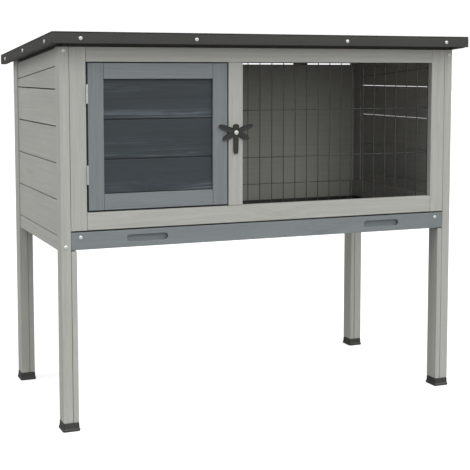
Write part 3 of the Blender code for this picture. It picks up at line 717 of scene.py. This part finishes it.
def shadow_closing_strips():
    """Charcoal strips under the deck that close the joint above the front and side walls; their dark paint is
    painted shadow in that joint.
    """
    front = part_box("front_top_rail")[0].y
    wall = max(abs(c.x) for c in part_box("side_board_right_3"))
    half = wall - 0.0036
    runs = {"front": (-half + 0.0106, half - 0.0106, front + 0.0030, front + 0.0110, "front"),
            "left": (-half, -half + 0.0100, front + 0.0030, 0.1985, "side"),
            "right": (half - 0.0100, half, front + 0.0030, 0.1985, "side")}
    for name, (x0, x1, y0, y1, where) in runs.items():
        bm = bmesh.new()
        block(bm, x0, x1, y0, y1, 0.0, 1.0)
        for v in bm.verts:
            v.co.z = under_deck(v.co.y) - 0.0003 if v.co.z > 0.5 else wall_top(v.co.y, where) + 0.0007
        slice_along(bm, 0 if where == "front" else 1, 0.05 if where == "front" else 0.01)
        for v in bm.verts:
            if v.co.z < under_deck(v.co.y) - 0.0010:
                # over the front and back posts, which stand higher, the strip is cut back
                at = where
                if where == "side":
                    at = "front" if v.co.y < -0.168 else "back" if v.co.y > 0.160 else "side"
                v.co.z = wall_top(v.co.y, at) + 0.0007
        round_over(bm, 0.0006, 2)
        # charcoal paint: painted shadow in the joint under the roof
        finish_mesh(bm, "roof_strip_" + name, WOOD["roof"], "roof",
                    grain="x" if where == "front" else "y")


roof_deck()
shadow_closing_strips()
roof_felt()


# --------------------------------------------------------------------------
# Feet and tray: lofted from rounded outlines
# --------------------------------------------------------------------------
def rounded_ring(bm, x0, x1, y0, y1, z, radius, steps=6):
    verts = []
    radius = max(radius, 0.0002)
    for cx, cy, start in ((x1 - radius, y1 - radius, 0), (x0 + radius, y1 - radius, 90),
                          (x0 + radius, y0 + radius, 180), (x1 - radius, y0 + radius, 270)):
        for i in range(steps + 1):
            a = math.radians(start + 90 * i / steps)
            verts.append(bm.verts.new((cx + radius * math.cos(a), cy + radius * math.sin(a), z)))
    return verts


def skin(bm, rings, close=True):
    for a, b in zip(rings, rings[1:]):
        n = len(a)
        for i in range(n):
            j = (i + 1) % n
            bm.faces.new((a[i], a[j], b[j], b[i]))
    if close:
        bm.faces.new(list(reversed(rings[0])))
        bm.faces.new(rings[-1])


def foot(end, side):
    name = "foot_%s_%s" % (end, side)
    lo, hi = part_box(name)
    flare = 0.0022
    x0, x1, y0, y1 = lo.x + flare, hi.x - flare, lo.y + flare, hi.y - flare
    profile = ((0.0000, 0.0004), (0.0003, 0.0014), (0.0009, 0.0021), (0.0018, 0.0022),
               (0.0036, 0.0022), (0.0044, 0.0020), (0.0050, 0.0014), (0.0056, 0.0010),
               (0.0070, 0.0008), (0.0140, 0.0004), (0.0152, 0.0003), (0.0157, 0.0000),
               (0.0160, -0.0006))
    bm = bmesh.new()
    rings = [rounded_ring(bm, x0 - out, x1 + out, y0 - out, y1 + out, lo.z + z, 0.0024 + out)
             for z, out in profile]
    skin(bm, rings)
    bmesh.ops.recalc_face_normals(bm, faces=bm.faces)
    layer = bm.verts.layers.float.new("edge")
    for v in bm.verts:
        v[layer] = 1.0 if 0.0005 < v.co.z - lo.z < 0.0050 else 0.0
    finish_mesh(bm, name + "_cap", FOOT_PLASTIC, "carcass", (name,), "z", smooth=55)


for end in ("front", "back"):
    for side in ("left", "right"):
        foot(end, side)


def tray_pan():
    """Shallow plastic tray: drawn walls with soft corners, a flat flange that runs in the
    side grooves, and a raised floor panel inside a drainage channel."""
    lo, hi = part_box("tray_pan")
    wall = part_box("tray_runner_right")[0].x - 0.0007      # outer faces of the pan's side walls
    y0, y1, z0, z1 = lo.y, hi.y, lo.z, hi.z
    half = hi.x

    bm = bmesh.new()

    def ring(hx, inset, z, radius):
        return rounded_ring(bm, -hx, hx, y0 + inset, y1 - inset, z, radius, 7)

    rings = [
        ring(wall - 0.0070, 0.0070, z0, 0.0080),
        ring(wall - 0.0038, 0.0038, z0 + 0.0003, 0.0100),
        ring(wall - 0.0020, 0.0020, z0 + 0.0013, 0.0112),
        ring(wall - 0.0012, 0.0012, z0 + 0.0032, 0.0118),
        ring(wall - 0.0002, 0.0002, z1 - 0.0026, 0.0122),
        ring(wall, 0.0001, z1 - 0.0023, 0.0122),
        ring(half - 0.0004, 0.0001, z1 - 0.0022, 0.0060),
        ring(half, 0.0000, z1 - 0.0018, 0.0062),
        ring(half, 0.0000, z1 - 0.0006, 0.0062),
        ring(half - 0.0006, 0.0006, z1, 0.0058),
        ring(wall - 0.0014, 0.0020, z1, 0.0110),
        ring(wall - 0.0022, 0.0027, z1 - 0.0008, 0.0104),
        ring(wall - 0.0032, 0.0036, z0 + 0.0068, 0.0096),
        ring(wall - 0.0042, 0.0046, z0 + 0.0040, 0.0088),
        ring(wall - 0.0064, 0.0068, z0 + 0.0027, 0.0074),
        ring(wall - 0.0100, 0.0104, z0 + 0.0025, 0.0060),
        ring(wall - 0.0240, 0.0244, z0 + 0.0025, 0.0120),
        ring(wall - 0.0256, 0.0260, z0 + 0.0029, 0.0116),
        ring(wall - 0.0268, 0.0272, z0 + 0.0038, 0.0112),
        ring(wall - 0.0284, 0.0288, z0 + 0.0041, 0.0108),
        ring(wall - 0.0400, 0.0404, z0 + 0.0041, 0.0100),
    ]
    skin(bm, rings)
    bmesh.ops.recalc_face_normals(bm, faces=bm.faces)
    layer = bm.verts.layers.float.new("edge")
    for v in bm.verts:
        v[layer] = 1.0 if v.co.z > z1 - 0.0002 else 0.0
    finish_mesh(bm, "tray_pan_moulding", TRAY_PLASTIC, "tray", ("tray_pan",), "x", smooth=40)


tray_pan()


# --------------------------------------------------------------------------
# Wire window
# --------------------------------------------------------------------------
def wire_window():
    """Round coated wires, the level ones welded behind the upright ones."""
    co = np.array([v.co for v in NODES["window_mesh"].data.vertices])
    lo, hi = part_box("window_mesh")
    xs = np.unique(np.round(co[np.abs(co[:, 2] - hi.z) < 1e-5][:, 0], 6))
    xs = [(a + b) / 2 for a, b in zip(xs[0::2], xs[1::2])]
    edge_z = np.unique(np.round(co[:, 2], 6))[1:-1]
    zs = [(a + b) / 2 for a, b in zip(edge_z[0::2], edge_z[1::2])]
    radius = 0.00088
    y_up = lo.y + radius
    y_level = y_up + radius * 1.72
    bm = bmesh.new()

    def wire(start, end, r, sides=10, bow=0.0):
        start, end = Vector(start), Vector(end)
        axis = (end - start).normalized()
        side = axis.orthogonal().normalized()
        other = axis.cross(side)
        length = (end - start).length
        cuts = [0.0, r * 0.45, length * 0.25, length * 0.5, length * 0.75, length - r * 0.45, length]
        rings = []
        for d in cuts:
            t = d / length
            rr = r * 0.72 if d in (0.0, length) else r
            centre = start + axis * d + Vector((0, bow * math.sin(math.pi * t), 0))
            rings.append([bm.verts.new(centre + (side * math.cos(2 * math.pi * k / sides)
                                                 + other * math.sin(2 * math.pi * k / sides)) * rr)
                          for k in range(sides)])
        skin(bm, rings)

    for i, x in enumerate(xs):
        wire((x, y_up, lo.z), (x, y_up, hi.z), radius, bow=0.00018 * math.sin(i * 2.3))
    for i, z in enumerate(zs):
        wire((lo.x - 0.0014, y_level, z), (hi.x + 0.0014, y_level, z), radius)
    # weld nuggets where they cross
    for x in xs:
        for z in zs:
            rings = []
            for d, r in ((-0.00062, 0.00035), (-0.00040, 0.00088), (0.0, 0.00118), (0.00040, 0.00088),
                         (0.00062, 0.00035)):
                y = (y_up + y_level) / 2 + d
                rings.append([bm.verts.new((x + r * math.cos(math.pi * k / 4), y, z + r * math.sin(math.pi * k / 4)))
                              for k in range(8)])
            skin(bm, rings)
    bmesh.ops.recalc_face_normals(bm, faces=bm.faces)
    finish_mesh(bm, "window_wire", WIRE_COAT, "carcass", ("window_mesh",), "z", smooth=60,
                weighted=False)


wire_window()


# --------------------------------------------------------------------------
# Metalwork
# --------------------------------------------------------------------------
def metal(name, material, width, segments=2, limit=40.0, smooth=32.0, suffix="_metal"):
    bm = from_node(name)
    round_over(bm, width, segments, limit)
    return finish_mesh(bm, name + suffix, material, BODY_OF[name], (name,), "z", smooth=smooth)


for level in ("lower", "upper"):
    for leaf in ("door", "frame"):
        metal("door_hinge_%s_%s_leaf" % (level, leaf), ZINC, 0.00018)
for side in ("left", "right"):
    for leaf in ("roof", "wall"):
        metal("roof_hinge_%s_%s_leaf" % (side, leaf), ZINC, 0.00018)


def latch_wings():
    """The cast turn button: rounded outline, its face let in inside a raised rim."""
    bm = from_node("latch")
    y0 = min(v.co.y for v in bm.verts)
    face = max((f for f in bm.faces if f.normal.y < -0.9 and f.calc_center_median().y < y0 + 1e-4),
               key=lambda f: f.calc_area())
    bmesh.ops.inset_region(bm, faces=[face], thickness=0.0013, depth=0.0, use_even_offset=True)
    bmesh.ops.inset_region(bm, faces=[face], thickness=0.0005, depth=0.0, use_even_offset=True)
    for v in face.verts:
        v.co.y += 0.0006
    rim = [e for e in bm.edges if e.is_convex and e.calc_face_angle(0.0) > math.radians(50)
           and abs(e.verts[0].co.y - e.verts[1].co.y) < 1e-5]
    layer = bm.verts.layers.float.new("edge")
    made = bmesh.ops.bevel(bm, geom=rim, offset=0.0006, offset_type="OFFSET", segments=3, profile=0.5,
                           affect="EDGES", clamp_overlap=True)
    strip = set(made["faces"])
    for v in bm.verts:
        v[layer] = 1.0 if v.link_faces and all(f in strip for f in v.link_faces) else 0.0
    return finish_mesh(bm, "latch_wings", COAT, "latch", ("latch",), "z", smooth=40.0)


latch_wings()


def pan_head(radius, height, slot_half, slot_width, slot_depth):
    """A pan-head screw's head with a cross recess, facing +Z, its seat at z 0."""
    bm = bmesh.new()
    n = 28
    profile = [(radius * 0.93, 0.0), (radius, height * 0.10), (radius, height * 0.26)]
    for i in range(1, 7):
        a = math.radians(90 * i / 6.0)
        profile.append((radius * (0.30 + 0.70 * math.cos(a) ** 0.9) if i < 6 else radius * 0.30,
                        height * (0.26 + 0.74 * math.sin(a))))
    rings = [[bm.verts.new((r * math.cos(2 * math.pi * k / n), r * math.sin(2 * math.pi * k / n), z))
              for k in range(n)] for r, z in profile]
    skin(bm, rings)
    bmesh.ops.recalc_face_normals(bm, faces=bm.faces)
    mesh = bpy.data.meshes.new("head")
    bm.to_mesh(mesh)
    bm.free()
    head = bpy.data.objects.new("head_tool", mesh)
    bpy.context.scene.collection.objects.link(head)

    cut = bmesh.new()
    w, s, top, floor = slot_width / 2, slot_half, height + 0.001, height - slot_depth
    outline = [(w, w), (s, w), (s, -w), (w, -w), (w, -s), (-w, -s), (-w, -w), (-s, -w), (-s, w),
               (-w, w), (-w, s), (w, s)]
    upper = [cut.verts.new((x, y, top)) for x, y in outline]
    lower = [cut.verts.new((x * 0.55, y * 0.55, floor)) for x, y in outline]
    skin(cut, [lower, upper])
    bmesh.ops.recalc_face_normals(cut, faces=cut.faces)
    cut_mesh = bpy.data.meshes.new("recess")
    cut.to_mesh(cut_mesh)
    cut.free()
    tool = bpy.data.objects.new("recess_tool", cut_mesh)
    bpy.context.scene.collection.objects.link(tool)
    mod = head.modifiers.new("recess", "BOOLEAN")
    mod.operation = "DIFFERENCE"
    mod.object = tool
    mod.solver = "EXACT"
    bpy.context.view_layer.update()
    dg = bpy.context.evaluated_depsgraph_get()
    result = bpy.data.meshes.new_from_object(head.evaluated_get(dg))
    bpy.data.objects.remove(head, do_unlink=True)
    bpy.data.objects.remove(tool, do_unlink=True)
    return result


HEAD = pan_head(0.0036, 0.0021, 0.0020, 0.0009, 0.0012)
LATCH_HEAD = pan_head(0.0043, 0.0022, 0.0023, 0.0010, 0.0012)
SMALL_HEAD = pan_head(0.0017, 0.0005, 0.0011, 0.0005, 0.0003)


def screws(name, head, places, body, nodes=()):
    """Screw heads as one piece: each place is (point, outward direction, turn in degrees)."""
    bm = bmesh.new()
    for point, out, turn in places:
        basis = Vector(out).to_track_quat("Z", "Y").to_matrix().to_4x4()
        part = bmesh.new()
        part.from_mesh(head)
        part.transform(Matrix.Translation(point) @ basis @ Matrix.Rotation(math.radians(turn), 4, "Z"))
        held = bpy.data.meshes.new("held")
        part.to_mesh(held)
        part.free()
        bm.from_mesh(held)
        bpy.data.meshes.remove(held)
    return finish_mesh(bm, name, SCREW, body, nodes, "z", smooth=38, weighted=False)


POST_X = 0.4071
back_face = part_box("post_back_left")[1].y
roof_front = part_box("roof_fascia_front")[0].y
roof_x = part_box("roof_fascia_left")[0].x
tray_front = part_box("tray_front_board")[0].y
screws("screws_carcass", HEAD,
       [((-POST_X, FRONT, 0.7021), (0, -1, 0), 12), ((-POST_X, FRONT, 0.3457), (0, -1, 0), 50),
        ((POST_X, FRONT, 0.6988), (0, -1, 0), 31),
        ((-POST_X, back_face, 0.6660), (0, 1, 0), 22), ((POST_X, back_face, 0.6660), (0, 1, 0), 64),
        ((-POST_X, back_face, 0.3457), (0, 1, 0), 41), ((POST_X, back_face, 0.3457), (0, 1, 0), 5)],
       "carcass")
screws("screws_roof", HEAD,
       [((x, roof_front, 0.7238), (0, -1, 0), t) for x, t in
        ((-0.3827, 8), (-0.1621, 33), (0.1530, 71), (0.3808, 20))]
       + [((s * abs(roof_x), FRONT + y, z), (s, 0, 0), t + 15 * s) for s in (-1, 1) for y, z, t in
          ((0.0271, 0.7192, 14), (0.2176, 0.7060, 52), (0.3967, 0.6917, 80))],
       "roof")
screws("screws_tray", HEAD,
       [((-0.3791, tray_front, 0.3620), (0, -1, 0), 27), ((0.3781, tray_front, 0.3620), (0, -1, 0), 66)],
       "tray")
latch_lo, latch_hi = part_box("latch")
screw_lo, screw_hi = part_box("latch_screw")
screws("latch_screw_head", LATCH_HEAD,
       [(((screw_lo.x + screw_hi.x) / 2, latch_lo.y - 0.0002, (screw_lo.z + screw_hi.z) / 2), (0, -1, 0), 18)],
       "carcass", ("latch_screw",))


def hinge_screws():
    doors, frames, roofs, walls = [], [], [], []
    for level in ("lower", "upper"):
        lo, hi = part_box("door_hinge_%s_door_leaf" % level)
        z = (lo.z + hi.z) / 2
        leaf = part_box("door_stile_hinge_side")[0].x - 0.0012
        for dz in (-0.0125, 0.0, 0.0125):
            doors.append(((leaf, hi.y - 0.0040, z + dz), (-1, 0, 0), 20 + dz * 900))
        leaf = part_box("front_stile_left")[1].x + 0.0012
        for dz in (-0.0125, 0.0, 0.0125):
            frames.append(((leaf, hi.y - 0.0040, z + dz), (1, 0, 0), 50 + dz * 900))
    for side in ("left", "right"):
        lo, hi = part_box("roof_hinge_%s_wall_leaf" % side)
        x = (lo.x + hi.x) / 2
        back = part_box("back_top_rail")[1].y + 0.0013
        for dx in (-0.0120, 0.0, 0.0120):
            walls.append(((x + dx, back, lo.z + 0.0070 + (0.0080 if dx == 0 else 0)), (0, 1, 0), 15 + dx * 800))
    screws("door_hinge_screws", SMALL_HEAD, doors, "door")
    screws("frame_hinge_screws", SMALL_HEAD, frames, "carcass")
    screws("roof_hinge_wall_screws", SMALL_HEAD, walls, "carcass")


hinge_screws()


# --------------------------------------------------------------------------
# Studio: pale floor, soft light, camera
# --------------------------------------------------------------------------
FLOOR_LIT = 0.76


def floor():
    bm = bmesh.new()
    bmesh.ops.create_grid(bm, x_segments=8, y_segments=8, size=30.0)
    mesh = bpy.data.meshes.new("floor")
    bm.to_mesh(mesh)
    bm.free()
    g = Graph("floor_white", rough=0.85, spec=0.1)
    texture = g.tree.nodes.new("ShaderNodeTexCoord")
    cloud = g.noise(texture.outputs["Object"], (2.0, 2.0, 2.0), 3.0)
    g.done(g.tint((0.35, 0.35, 0.35), g.sum(1.0, (cloud, 0.02, 0.5))), None, None)
    # the sweep is lit to white for the eye, with the object's soft shadow left on it
    lit = g.tree.nodes.new("ShaderNodeEmission")
    lit.inputs["Strength"].default_value = FLOOR_LIT
    pale = g.tree.nodes.new("ShaderNodeBsdfDiffuse")
    pale.inputs["Color"].default_value = (0.46, 0.46, 0.46, 1.0)
    both = g.tree.nodes.new("ShaderNodeAddShader")
    path = g.tree.nodes.new("ShaderNodeLightPath")
    seen = g.tree.nodes.new("ShaderNodeMixShader")
    g.tree.links.new(lit.outputs[0], both.inputs[0])
    g.tree.links.new(pale.outputs[0], both.inputs[1])
    g.tree.links.new(path.outputs["Is Camera Ray"], seen.inputs[0])
    g.tree.links.new(g.shader.outputs[0], seen.inputs[1])
    g.tree.links.new(both.outputs[0], seen.inputs[2])
    g.tree.links.new(seen.outputs[0], g.out.inputs["Surface"])
    mesh.materials.append(g.mat)
    obj = bpy.data.objects.new("floor", mesh)
    obj.location.z = -0.0002
    bpy.context.scene.collection.objects.link(obj)


floor()

WORLD = 0.12
SUNS = {
    # name: (degrees round from the front towards +X, degrees up, softness in degrees, strength)
    "front_low": (0.0, 15.0, 40.0, 1.02),
    "front_high": (0.0, 70.0, 40.0, 0.46),
    "front_right": (45.0, 45.0, 40.0, 1.66),
    "front_left": (-45.0, 45.0, 40.0, 0.24),
    "left": (-90.0, 45.0, 40.0, 1.08),
    "left_low": (-90.0, 15.0, 40.0, 0.72),
    "right_low": (90.0, 15.0, 50.0, 0.60),
    "back": (180.0, 30.0, 60.0, 0.45),
}


def studio():
    for name, (azimuth, up, soft, strength) in SUNS.items():
        data = bpy.data.lights.new(name, "SUN")
        data.angle = math.radians(soft)
        data.energy = strength
        obj = bpy.data.objects.new("light_" + name, data)
        a, e = math.radians(azimuth), math.radians(up)
        towards = Vector((math.sin(a) * math.cos(e), -math.cos(a) * math.cos(e), math.sin(e)))
        obj.location = towards * 3.0
        obj.rotation_euler = (-towards).to_track_quat("-Z", "Y").to_euler()
        bpy.context.scene.collection.objects.link(obj)
    world = bpy.data.worlds.new("studio")
    bpy.context.scene.world = world
    world.use_nodes = True
    tree = world.node_tree
    tree.nodes.clear()
    out = tree.nodes.new("ShaderNodeOutputWorld")
    seen = tree.nodes.new("ShaderNodeBackground")
    dome = tree.nodes.new("ShaderNodeBackground")
    seen.inputs["Color"].default_value = (1, 1, 1, 1)
    seen.inputs["Strength"].default_value = 1.05
    dome.inputs["Color"].default_value = (1, 1, 1, 1)
    dome.inputs["Strength"].default_value = WORLD
    path = tree.nodes.new("ShaderNodeLightPath")
    mix = tree.nodes.new("ShaderNodeMixShader")
    tree.links.new(path.outputs["Is Camera Ray"], mix.inputs[0])
    tree.links.new(dome.outputs[0], mix.inputs[1])
    tree.links.new(seen.outputs[0], mix.inputs[2])
    tree.links.new(mix.outputs[0], out.inputs["Surface"])


studio()


def camera():
    data = bpy.data.cameras.new("camera")
    data.sensor_width = 36.0
    data.lens = 85.26
    data.shift_y = -0.14
    data.clip_start, data.clip_end = 0.05, 100.0
    obj = bpy.data.objects.new("camera", data)
    obj.location = (-0.8905, -2.1835, 0.6651)
    obj.rotation_euler = (math.radians(90.0 - 5.021), 0.0, math.radians(-22.488))
    bpy.context.scene.collection.objects.link(obj)
    bpy.context.scene.camera = obj


camera()
bpy.context.scene.view_settings.view_transform = "Standard"
